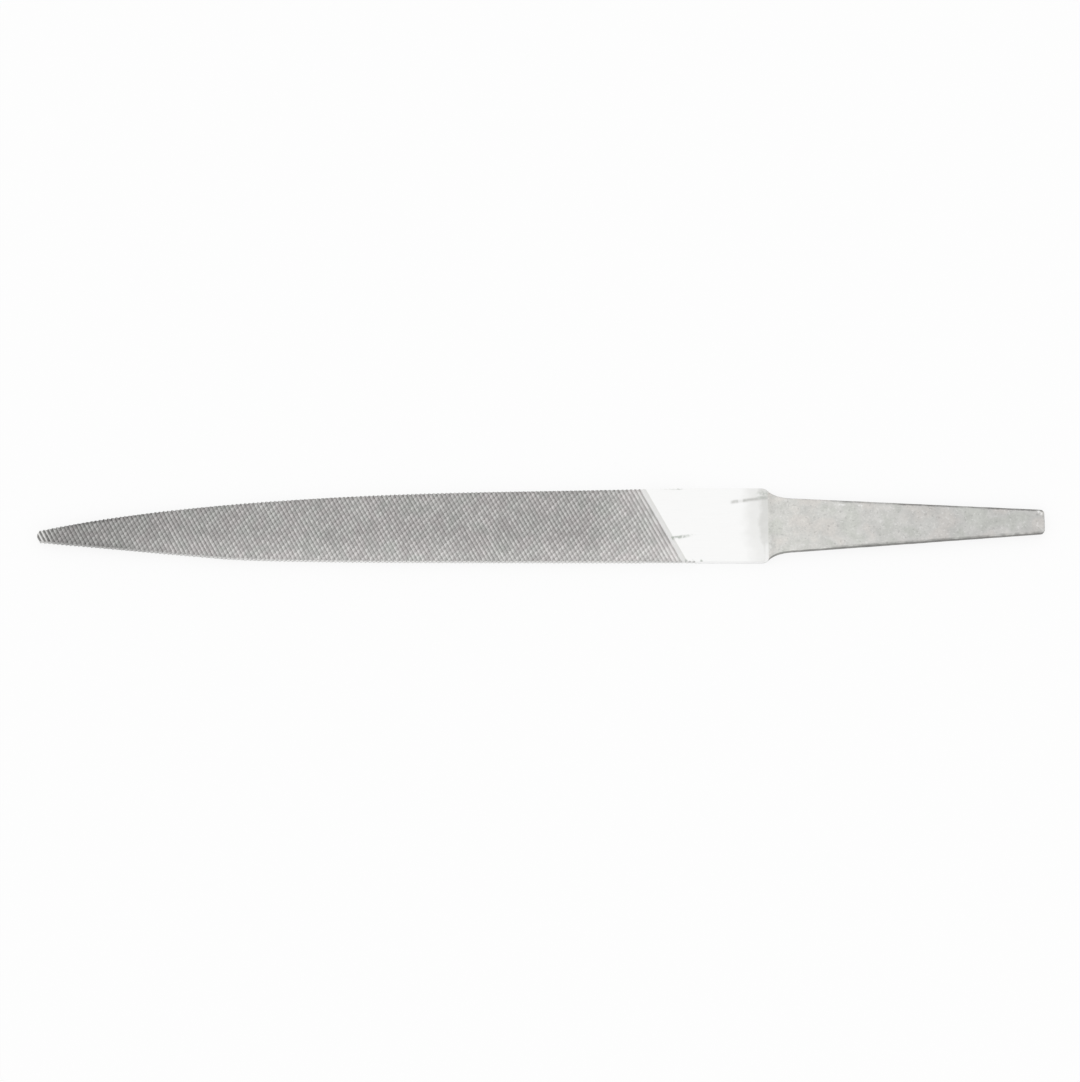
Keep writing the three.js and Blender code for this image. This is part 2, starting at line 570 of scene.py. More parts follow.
class EdgeLine:
    """One long edge in plan, as a chain of close points that can be asked for a share of its length."""

    def __init__(self, points: Sequence[Vector]) -> None:
        """Measure the chain.

        Args:
            points: its points, from the heel to the point of the file.
        """
        self.points = list(points)
        self.reach = [0.0]
        for before, after in zip(self.points, self.points[1:]):
            self.reach.append(self.reach[-1] + (after - before).length)

    @property
    def length(self) -> float:
        """Return the length of the whole edge."""
        return self.reach[-1]

    def at(self, share: float) -> tuple[Vector, Vector]:
        """Find a place on the edge.

        Args:
            share: how much of its length lies before the place.

        Returns:
            The place and the direction in which the edge runs on.
        """
        wanted = share * self.length
        index = next((i for i, reach in enumerate(self.reach[1:]) if reach >= wanted), len(self.points) - 2)
        before, after = self.points[index], self.points[index + 1]
        part = (wanted - self.reach[index]) / (self.reach[index + 1] - self.reach[index])
        return before.lerp(after, part), (after - before).normalized()


def quadratic(start: Vector, corner: Vector, end: Vector, steps: int) -> list[Vector]:
    """Round a corner off from a start to an end, in that many steps, and return the points of the curve."""
    shares = [step / steps for step in range(steps + 1)]
    return [start.lerp(corner, share).lerp(corner.lerp(end, share), share) for share in shares]


@dataclass(frozen=True)
class Taper:
    """How a long edge runs from the heel to the point: a straight line, a curve and a second straight line.

    The places are distances from the point, the corner is where the two lines would meet, and the lean is
    what the edge falls in by on the first of them.
    """

    straight_end: float
    corner: float
    curve_end: float
    lean: float


@dataclass(frozen=True)
class Plan:
    """The outline of the bar in plan, from the shoulder to the point and back, with its edge teeth."""

    bar: Bar
    point_width: float = 1.4 * MM
    point_drop: float = 1.6 * MM
    point_corner: float = 0.45 * MM
    far_taper: Taper = Taper(64 * MM, 23.7 * MM, 2 * MM, 0.47 * MM)
    near_taper: Taper = Taper(58.9 * MM, 30.5 * MM, 24.8 * MM, 0.05 * MM)
    edge_pitch: float = 0.588 * MM
    edge_depth: float = 0.12 * MM
    front_share: float = 0.25
    bare_edge: float = 10 * MM
    heel_corner_length: float = 0.9 * MM
    heel_corner_width: float = 0.35 * MM
    edge_shade_reach: float = 0.42 * MM
    curve_steps: int = 40
    corner_steps: int = 6

    @property
    def teeth_end(self) -> float:
        """Return how far from the point the edge teeth end."""
        return self.bar.body_length - self.bare_edge

    def bare_line(self, edge: Edge) -> EdgeLine:
        """Draw one long edge from the end of its teeth to the point, without the teeth.

        Args:
            edge: which edge.

        Returns:
            The edge.
        """
        side, end, half = edge.value, self.teeth_end, self.bar.half_width
        taper = self.far_taper if edge is Edge.FAR else self.near_taper
        slope = taper.lean / (end - taper.straight_end)
        start, straight_end, corner = (
            Vector((x, side * (half - slope * (end - x)), 0)) for x in (end, taper.straight_end, taper.corner)
        )
        point = Vector((0, side * self.point_width / 2 - self.point_drop, 0))
        last_start = point.lerp(corner, taper.curve_end / taper.corner)
        curve = quadratic(straight_end, corner, last_start, self.curve_steps)
        inward = Vector((0, -side * self.point_corner, 0))
        before = point.lerp(last_start, self.point_corner / (last_start - point).length)
        return EdgeLine([start, *curve, *quadratic(before, point, point + inward, self.corner_steps)])

    def toothed_edge(self, edge: Edge) -> list[Vector]:
        """Cut one row of teeth into a long edge. Their steep fronts look towards the point.

        Args:
            edge: which edge.

        Returns:
            The points of the toothed edge, from the heel to the point.
        """
        line = self.bare_line(edge)
        count = round(line.length / self.edge_pitch)
        outline = []
        for tooth in range(count):
            tip = line.at(tooth / count)[0]
            root, along = line.at((tooth + self.front_share) / count)
            inward = Vector((-along.y, along.x, 0)) * edge.value
            outline += [tip, root + inward * self.edge_depth]
        return [*outline, line.at(1.0)[0]]

    def heel_corner(self, edge: Edge) -> list[Vector]:
        """Round the corner where a long edge meets the shoulder.

        Args:
            edge: which edge.

        Returns:
            The points from the shoulder to the straight edge.
        """
        shoulder, half = self.bar.body_length, self.bar.half_width
        start = Vector((shoulder, edge.value * (half - self.heel_corner_width), 0))
        corner = Vector((shoulder - self.heel_corner_width, edge.value * half, 0))
        end = Vector((shoulder - self.heel_corner_length, edge.value * half, 0))
        return quadratic(start, corner, end, self.corner_steps)

    def outline(self) -> list[Vector]:
        """Return the whole outline, from the shoulder round the point and back."""
        far, near = ([*self.heel_corner(edge), *self.toothed_edge(edge)] for edge in Edge)
        return far + near[::-1]

    def mark_edge_roots(self, piece: bpy.types.Object) -> None:
        """Store how near each point lies to an edge tooth's root, for a small and a wide spot of painted
        shade.

        Args:
            piece: a piece that still lies in the bar's own places.
        """
        roots = [place for edge in Edge for place in self.toothed_edge(edge)[1::2]]
        tree = kdtree.KDTree(len(roots))
        for index, place in enumerate(roots):
            tree.insert(place, index)
        tree.balance()
        distances = [tree.find(vert.co * Vector((1, 1, 0)))[2] for vert in piece.data.vertices]
        reaches = {Mark.EDGE_ROOT: self.edge_pitch * self.front_share, Mark.EDGE_DIRT: self.edge_shade_reach}
        for mark, reach in reaches.items():
            mark.store(piece, [max(0.0, 1 - distance / reach) for distance in distances])


def raised(bm: bmesh.types.BMesh) -> list[bmesh.types.BMVert]:
    """Extrude all faces of a sheet and return the points of the new ones, which still have to be moved."""
    made = bmesh.ops.extrude_face_region(bm, geom=bm.faces[:])
    return [entry for entry in made["geom"] if isinstance(entry, bmesh.types.BMVert)]


def plan_solid(outline: Sequence[Vector], half_height: float) -> bmesh.types.BMesh:
    """Make a plate of any outline, as thick above the middle of the bar as below it.

    Args:
        outline: its corners in plan, in order.
        half_height: half its thickness.

    Returns:
        The closed plate.
    """
    bm = bmesh.new()
    bmesh.ops.create_circle(bm, cap_ends=True, segments=len(outline), radius=1.0)
    bm.verts.ensure_lookup_table()
    for vert, place in zip(bm.verts, outline):
        vert.co = Vector((place.x, place.y, -half_height))
    bmesh.ops.translate(bm, verts=raised(bm), vec=Vector((0, 0, 2 * half_height)))
    bmesh.ops.recalc_face_normals(bm, faces=bm.faces[:])
    return bm


def bisect(bm: bmesh.types.BMesh, place: Vector, direction: Vector, take_off: bool = False) -> Sequence:
    """Lay a cut through a whole shape.

    Args:
        bm: the shape.
        place: a point on the cut.
        direction: the direction square to it, of length 1.
        take_off: whether what lies past the cut is taken off.

    Returns:
        The points and edges on the cut.
    """
    everything = [*bm.verts, *bm.edges, *bm.faces]
    made = bmesh.ops.bisect_plane(
        bm, geom=everything, dist=TOUCHING, plane_co=place, plane_no=direction, clear_outer=take_off
    )
    return made["geom_cut"]


def slice_across(bm: bmesh.types.BMesh, direction: Vector, places: Iterable[float]) -> None:
    """Lay cuts through a shape without taking anything off, so that its points can be moved there.

    Args:
        bm: the shape.
        direction: the direction square to the cuts.
        places: how far along that direction each cut lies.
    """
    unit = direction.normalized()
    for place in places:
        bisect(bm, unit * place, unit)


def cut_off(bm: bmesh.types.BMesh, place: Vector, direction: Vector) -> None:
    """Take off what lies past a plane and close the shape again.

    Args:
        bm: the shape.
        place: a point on the plane.
        direction: the direction in which the shape is taken off.
    """
    on_cut = bisect(bm, place, direction.normalized(), take_off=True)
    rim = [entry for entry in on_cut if isinstance(entry, bmesh.types.BMEdge)]
    bmesh.ops.holes_fill(bm, edges=rim, sides=0)


def level_edges(bm: bmesh.types.BMesh) -> list[bmesh.types.BMEdge]:
    """Return the edges of a plate that run round its two faces."""
    return [edge for edge in bm.edges if abs(edge.verts[0].co.z - edge.verts[1].co.z) < LEVEL]


def round_off(
    bm: bmesh.types.BMesh, edges: Sequence[bmesh.types.BMEdge], radius: float, segments: int
) -> None:
    """Round edges of a shape.

    Args:
        bm: the shape.
        edges: the edges.
        radius: how far the rounding reaches.
        segments: how many faces it has.
    """
    bmesh.ops.bevel(
        bm, geom=edges, offset=radius, segments=segments, profile=0.5,
        affect="EDGES", material=-1, clamp_overlap=True,
    )


def turn_to(bm: bmesh.types.BMesh, face: Face) -> None:
    """Turn a shape made for the upper face over to the face that it is for, about the length of the bar."""
    if face is Face.LOWER:
        bmesh.ops.rotate(bm, verts=bm.verts, cent=Vector(), matrix=Matrix.Rotation(math.pi, 3, "X"))


def half_lap(cutting: Cutting, face: Face, room: Room) -> bmesh.types.BMesh:
    """Make the room beside the end of the cut on one face, down to the middle of the bar.

    Args:
        cutting: how the faces are cut.
        face: the face that the room is over.
        room: on which side of the end it lies.

    Returns:
        A closed solid.
    """
    bar = cutting.bar
    bm = bmesh.new()
    bmesh.ops.create_cube(bm, size=1.0)
    bmesh.ops.translate(bm, verts=bm.verts, vec=Vector((room.value / 2, 0, 0.5)))
    sizes = Vector((2 * bar.body_length, 4 * bar.half_width, 4 * bar.tip_height))
    bmesh.ops.scale(bm, verts=bm.verts, vec=sizes)
    lean = Matrix.Identity(4)
    lean[0][1] = -cutting.up.slope
    bmesh.ops.transform(bm, verts=bm.verts, matrix=lean)
    bmesh.ops.translate(bm, verts=bm.verts, vec=Vector((cutting.end, 0, 0)))
    turn_to(bm, face)
    return bm


def object_from(bm: bmesh.types.BMesh, name: str) -> bpy.types.Object:
    """Turn a shape into an object at the origin and free the shape.

    Args:
        bm: the shape.
        name: the object's name.

    Returns:
        The object.
    """
    mesh = bpy.data.meshes.new(name)
    bm.to_mesh(mesh)
    bm.free()
    made = bpy.data.objects.new(name, mesh)
    bpy.context.scene.collection.objects.link(made)
    return made


def take_away(blank: bpy.types.Object, shapes: Iterable[bmesh.types.BMesh]) -> None:
    """Cut several solids out of a blank, one after the other.

    Args:
        blank: the object that is cut.
        shapes: the solids that are taken away from it. They are freed.
    """
    cutters = [object_from(shape, "cutter") for shape in shapes]
    for cutter in cutters:
        modifier = blank.modifiers.new(cutter.name, "BOOLEAN")
        modifier.operation = "DIFFERENCE"
        modifier.solver = "MANIFOLD"
        modifier.object = cutter
    evaluated = blank.evaluated_get(bpy.context.evaluated_depsgraph_get())
    cut = bpy.data.meshes.new_from_object(evaluated)
    blank.modifiers.clear()
    cut.name = blank.data.name
    blank.data = cut
    for cutter in cutters:
        bpy.data.objects.remove(cutter)


@dataclass(frozen=True)
class EdgeTeeth:
    """The chiselled narrow sides of the bar: light tips with painted shade between them, darker near the
    point.
    """

    plan: Plan
    tip_colour: Colour = (0.84, 0.835, 0.82)
    root_level: float = 0.55
    ageing: Ramp = Ramp(0.0, 36 * MM, 0.55, 1.0)
    grime: Pattern = Pattern(0.35 * MM, levels=(0.85, 1.15))
    blur: float = 0.05 * MM

    def colour(self, place: Place) -> Socket:
        """Work out the colour of a narrow side.

        Args:
            place: the spot.

        Returns:
            The colour.
        """
        # Roots of the edge teeth are darker: painted shade between the teeth.
        root = place.shader.mark(Mark.EDGE_ROOT).between(1.0, self.root_level)
        tone = place.noise(self.grime) * place.from_point.ramp(self.ageing) * root
        return place.shader.shade(self.tip_colour, tone)

    def share(self, place: Place, side_height: float) -> Socket:
        """Tell where a spot lies on a toothed side.

        Args:
            place: the spot.
            side_height: how far up the flat part of the side reaches.

        Returns:
            1 on the side and 0 elsewhere.
        """
        end = self.plan.teeth_end
        toothed = place.from_point.ramp(Ramp(end + self.blur, end - self.blur))
        return abs(place.height).ramp(Ramp(side_height, side_height - self.blur)) * toothed


@dataclass(frozen=True)
class ToothedSteel:
    """Hardened steel with chiselled teeth: light tips, and grey roots of painted shade, oil and dirt.

    The near edge and the end of the cut carry painted light, and the point is worn bright, partly a painted
    highlight. In some patches the crests of the over-cut show instead of those of the up-cut. Rows are
    counted from the end of the cut.
    """

    plan: Plan
    cutting: Cutting
    # The roots are painted darker than the tips: painted shade in the grooves.
    root_colour: Colour = (0.427, 0.423, 0.414)
    tip_colour: Colour = (0.63, 0.625, 0.612)
    root_roughness: float = 0.6
    tip_roughness: float = 0.34
    tints: tuple[Cover, ...] = (
        Cover(Pattern(1.9 * MM, ramp=Ramp(0.44, 0.62)), (1.0, 0.980, 0.988), Blend.MULTIPLY),
        Cover(Pattern(1.9 * MM, ramp=Ramp(0.42, 0.3)), (0.985, 1.0, 0.99), Blend.MULTIPLY),
    )
    depth_light: Ramp = Ramp(0.1, 1.0)
    tooth_share: float = 0.44
    patch_share: float = 0.24
    patches: Pattern = Pattern(6 * MM, ramp=Ramp(0.36, 0.52))
    patch_rows: Ramp = Ramp(-2.0, -9.0)
    stripes: Pattern = Pattern(1.0, 1.0, ramp=Ramp(0.3, 0.7, 0.96, 1.04))
    stripe_step: float = 1.37
    stripe_length: float = 1.6 * MM
    face_step: float = 0.3
    ageing: Ramp = Ramp(0.0, 36 * MM, 0.77, 1.0)
    # Painted light along the near edge and over the end of the cut.
    near_light: Ramp = Ramp(4.2 * MM, 0.0, 0.0, 0.17)
    near_start: Ramp = Ramp(8 * MM, 16 * MM)
    end_light: Ramp = Ramp(75 * MM, 80.5 * MM, 0.0, 0.15)
    end_near_share: float = 0.8
    clouds: Pattern = Pattern(3.5 * MM, 3.0, levels=(0.93, 1.07))
    # Painted shade round the edge teeth, stronger near the point and on one edge.
    dirt: Ramp = Ramp(20 * MM, 6 * MM, 0.22, 0.70)
    edge_shade_turn: Ramp = Ramp(-1 * MM, 1 * MM, 0.4, 1.0)
    land_colour: Colour = (0.78, 0.78, 0.77)
    land: Ramp = Ramp(-0.40 * MM, -0.28 * MM, 0.0, 0.9)
    land_edge: Pattern = Pattern(0.5 * MM, levels=(0.0, 0.2 * MM))
    # Bright worn tips at the point: wear with a painted highlight.
    worn_and_highlight_colour: Colour = (0.80, 0.795, 0.78)
    worn: Ramp = Ramp(3.08 * MM, 0.3 * MM)
    worn_edge: Pattern = Pattern(0.5 * MM, levels=(-0.5 * MM, 0.5 * MM))
    worn_tips: Ramp = Ramp(0.4, 0.85)
    worn_side: float = 0.6
    worn_share: float = 0.85
    # Near-black gaps between the worn tips: painted shade.
    gap_colour: Colour = (0.14, 0.138, 0.134)
    gaps: Ramp = Ramp(0.75, 0.2, 0.0, 0.6)
    grit: Pattern = Pattern(0.12 * MM, 3.0)
    grit_height: float = 0.012 * MM
    grit_strength: float = 0.5

    def material(self) -> bpy.types.Material:
        """Make the finish.

        Returns:
            The material.
        """
        material, shader = new_shader("toothed_steel")
        place = Place.read(shader, self.plan.bar)
        up, over, edge_teeth = self.cutting.up, self.cutting.over, EdgeTeeth(self.plan)
        from_cut = self.cutting.past_end(place, up)
        up_row, over_row = from_cut / up.pitch, self.cutting.past_end(place, over) / over.pitch
        light = self.painted_tooth_light(place, up_row, over_row)
        colour = shader.mix(light, self.root_colour, self.tip_colour)
        colour = shader.layered(colour, place.covers(self.tints))
        tone = self.length_tone(place) * self.row_tone(place, up_row) * (1 - self.edge_dirt(place))
        on_side = edge_teeth.share(place, self.cutting.root_height)
        colour = shader.layered(shader.shade(colour, tone), [
            Layer((from_cut + place.noise(self.land_edge)).ramp(self.land), self.land_colour),
            Layer(on_side, edge_teeth.colour(place)),
            *self.worn_point_light_and_shade(place, self.crest(up_row), on_side),
        ])
        normal = shader.bump(place.noise(self.grit), self.grit_height, self.grit_strength)
        shader.steel(colour, light.between(self.root_roughness, self.tip_roughness), normal)
        return material

    def crest(self, row: Socket) -> Socket:
        """Tell how near a place lies to the crest of its row, from 0 to 1."""
        past, front = row.fraction(), self.cutting.front_share
        return past.ramp(Ramp(0.0, front)) * past.ramp(Ramp(1.0, front))

    def painted_tooth_light(self, place: Place, up_row: Socket, over_row: Socket) -> Socket:
        """Work out how light each spot of the teeth is, with painted shade in roots and light on crests.

        Args:
            place: the spot.
            up_row: the spot counted in rows of the up-cut.
            over_row: the spot counted in rows of the over-cut.

        Returns:
            The share of the light colour.
        """
        cell = {"X": up_row.floor(), "Y": over_row.floor(), "Z": place.height.sign()}
        tooth = place.shader.node("ShaderNodeCombineXYZ", sockets=cell).out()
        settings = {"noise_dimensions": "3D"}
        chance = place.shader.node("ShaderNodeTexWhiteNoise", settings, {"Vector": tooth}).out("Value")
        patch = place.noise(self.patches) * up_row.ramp(self.patch_rows)
        # Crests are painted lighter and deep spots darker: painted light on the crests, painted shade in the
        # grooves.
        crests = self.crest(over_row) * patch + self.crest(up_row) * (1 - patch)
        level = (abs(place.height) - self.cutting.root_height) / self.cutting.depth
        light = level.ramp(self.depth_light) * (1 - self.patch_share) + crests * self.patch_share
        return light * chance.between(1 - self.tooth_share, 1 + self.tooth_share)

    def row_tone(self, place: Place, up_row: Socket) -> Socket:
        """Make each row of the up-cut a little lighter or darker, changing along the row.

        Args:
            place: the spot.
            up_row: the spot counted in rows of the up-cut.

        Returns:
            The factor for the colour.
        """
        row, along = up_row.floor() * self.stripe_step, place.across / self.stripe_length
        cell = {"X": row, "Y": along, "Z": place.height.sign() * self.face_step}
        on_row = place.shader.node("ShaderNodeCombineXYZ", sockets=cell).out()
        return place.shader.noise(on_row, self.stripes)

    def edge_dirt(self, place: Place) -> Socket:
        """Tell how much painted shade round the roots of the edge teeth darkens a spot."""
        dirt = place.shader.mark(Mark.EDGE_DIRT)
        return dirt * place.from_point.ramp(self.dirt) * place.across.ramp(self.edge_shade_turn)

    def length_tone(self, place: Place) -> Socket:
        """Darken near the point, paint light on the near edge and the end of the cut, and add faint clouds.

        Args:
            place: the spot.

        Returns:
            The factor for the colour.
        """
        along, half = place.from_point, self.plan.bar.half_width
        point_reach = self.plan.point_width / 2 + self.plan.point_drop
        slope = (half - point_reach) / self.plan.near_taper.corner
        near_edge = (along * -slope - point_reach).math("MAXIMUM", -half)
        near = (place.across - near_edge).ramp(self.near_light) * along.ramp(self.near_start)
        end = along.ramp(self.end_light) * place.across.ramp(Ramp(-half, half, self.end_near_share, 1.0))
        return along.ramp(self.ageing) * (near + 1) * (end + 1) * place.noise(self.clouds)

    def worn_point_light_and_shade(self, place: Place, stroke: Socket, on_side: Socket) -> list[Layer]:
        """Wear the tips at the very point bright, with a painted highlight and painted shade in the gaps.

        Args:
            place: the spot.
            stroke: how near it lies to the crest of a row.
            on_side: whether it lies on a toothed side.

        Returns:
            The layers of the gaps and of the tips.
        """
        worn = (place.from_point + place.noise(self.worn_edge)).ramp(self.worn)
        tips = stroke.ramp(self.worn_tips).math("MAXIMUM", on_side * self.worn_side)
        gaps = Layer(worn * stroke.ramp(self.gaps), self.gap_colour)
        return [gaps, Layer(worn * tips * self.worn_share, self.worn_and_highlight_colour)]


@dataclass(frozen=True)
class FacetLine:
    """The dark line of painted shade where the slanting facet of the upper face begins, with one gap in it.
    """

    start: Pair = (95.0 * MM, 3.19 * MM)
    end: Pair = (99.9 * MM, 3.85 * MM)
    width: Ramp = Ramp(0.4 * MM, 0.0)
    begin: Ramp = Ramp(94.7 * MM, 95.3 * MM)
    gap_at: float = 96.25 * MM
    gap: Ramp = Ramp(0.45 * MM, 0.2 * MM, 1.0, 0.35)
    breaks: Pattern = Pattern(0.7 * MM, ramp=Ramp(0.3, 0.6, 0.6, 1.0))

    def strength(self, place: Place, face_height: float) -> Socket:
        """Tell how strong the line is.

        Args:
            place: the spot.
            face_height: the height of the upper face.

        Returns:
            The strength, from 0 to 1.
        """
        along = place.from_point
        slope = (self.end[1] - self.start[1]) / (self.end[0] - self.start[0])
        on_line = (along - self.start[0]) * slope + self.start[1]
        strip = abs(place.y - on_line).ramp(self.width) * along.ramp(self.begin)
        whole = place.noise(self.breaks) * abs(along - self.gap_at).ramp(self.gap)
        return strip * whole * place.height.ramp(Ramp(0.0, face_height / 2))


@dataclass(frozen=True)
class GroundSteel:
    """Bright steel that a stone has ground along the bar, with a few scratches and a dull burr strip."""

    plan: Plan
    cutting: Cutting
    side_height: float
    colour: Colour = (0.945, 0.945, 0.938)
    grain: Pattern = Pattern(1 * MM, 3.0, stretch=(3.0, 0.05, 1.0))
    grain_levels: Pair = (0.975, 1.025)
    grain_height: float = 0.004 * MM
    grain_strength: float = 0.4
    roughness: float = 0.26
    grain_roughness: float = 0.1
    burr_roughness: float = 0.15
    # Dull colour of the burr, also used for the painted shade where the heel rolls off.
    dull_and_shade_colour: Colour = (0.70, 0.70, 0.68)
    burr: Ramp = Ramp(0.36 * MM, 0.288 * MM)
    burr_clouds: Pattern = Pattern(0.3 * MM, levels=(0.65, 0.90))
    falls: tuple[Ramp, ...] = (Ramp(-4.2 * MM, -1.9 * MM, 0.0, 0.46), Ramp(-1.4 * MM, -0.7 * MM, 0.0, 0.5))
    fall_edge: Pattern = Pattern(1.6 * MM, levels=(-0.7 * MM, 0.7 * MM))
    fall_lead: Ramp = Ramp(-1.0 * MM, -4.5 * MM, 0.0, 0.7 * MM)
    fall_fade: Ramp = Ramp(0.0, -4.5 * MM, 1.0, 0.78)
    fall_clouds: Pattern = Pattern(0.8 * MM, levels=(0.85, 1.15))
    # A lighter strip along the ridge at the shoulder: painted light on the ridge.
    ridge_light_colour: Colour = (0.88, 0.88, 0.87)
    ridge: Ramp = Ramp(-0.55 * MM, -0.35 * MM, 0.0, 0.8)
    ridge_width: Ramp = Ramp(-2.2 * MM, -3.2 * MM)
    # Colour of the painted shade line at the facet's edge.
    line_colour: Colour = (0.55, 0.55, 0.53)
    facet_line: FacetLine = FacetLine()
    # The narrow sides are painted lighter: painted light where they mirror the floor's shade.
    lit_side_colour: Colour = (0.98, 0.98, 0.975)
    side_share: float = 0.8
    stain_and_shade_colour: Colour = (0.46, 0.49, 0.45)
    stain_and_shade_spots: tuple[Spot, ...] = (
        Spot(87.3 * MM, -1.85 * MM, 3.2 * MM, 0.36 * MM, 0.9, turn=9.0),
        Spot(86.6 * MM, -2.05 * MM, 1.3 * MM, 0.46 * MM, 0.9, turn=5.0),
        Spot(86.9 * MM, 5.12 * MM, 2.0 * MM, 0.30 * MM, 0.35),
        Spot(87.8 * MM, 5.14 * MM, 0.7 * MM, 0.32 * MM, 0.5),
        Spot(88.7 * MM, -5.2 * MM, 0.34 * MM, 0.45 * MM, 0.85, half_height=0.4 * MM),
        Spot(89.5 * MM, -5.2 * MM, 0.30 * MM, 0.40 * MM, 0.85, half_height=0.4 * MM),
        Spot(90.8 * MM, -5.2 * MM, 0.30 * MM, 0.40 * MM, 0.85, half_height=0.4 * MM),
        # This spot lies on the slanting facet: painted shade of the tilted facet.
        Spot(99.4 * MM, 4.3 * MM, 1.3 * MM, 1.0 * MM, 0.75, half_height=0.4 * MM),
    )

    def material(self) -> bpy.types.Material:
        """Make the finish.

        Returns:
            The material.
        """
        material, shader = new_shader("ground_steel")
        bar, edge_teeth = self.plan.bar, EdgeTeeth(self.plan)
        place = Place.read(shader, bar)
        grain = place.noise(self.grain)
        burr = self.cutting.past_end(place, self.cutting.up).ramp(self.burr)
        ridge = place.from_shoulder.ramp(self.ridge) * place.across.ramp(self.ridge_width)
        lit_side = abs(place.height).ramp(Ramp(self.side_height, 0.0, 0.0, self.side_share))
        colour = shader.layered(shader.shade(self.colour, grain.between(*self.grain_levels)), [
            Layer(burr * place.noise(self.burr_clouds), self.dull_and_shade_colour),
            Layer(self.shoulder_fall_shade(place), self.dull_and_shade_colour),
            Layer(ridge, self.ridge_light_colour),
            Layer(self.facet_line.strength(place, bar.face_height), self.line_colour),
            *place.spots(self.stain_and_shade_spots, self.stain_and_shade_colour, bar.origin(bar.face_height)),
            Layer(lit_side, self.lit_side_colour),
            Layer(edge_teeth.share(place, self.side_height), edge_teeth.colour(place)),
        ])
        roughness = self.roughness + grain * self.grain_roughness + burr * self.burr_roughness
        shader.steel(colour, roughness, shader.bump(grain, self.grain_height, self.grain_strength))
        return material

    def shoulder_fall_shade(self, place: Place) -> Socket:
        """Paint shade on the stretch where the heel is thinned and rolls off, in two bands with uneven edges.

        Args:
            place: the spot.

        Returns:
            The share of the dull colour.
        """
        rim = place.from_shoulder + place.noise(self.fall_edge) - place.across.ramp(self.fall_lead)
        fall = sum(rim.ramp(band) for band in self.falls)
        return fall * place.across.ramp(self.fall_fade) * place.noise(self.fall_clouds)


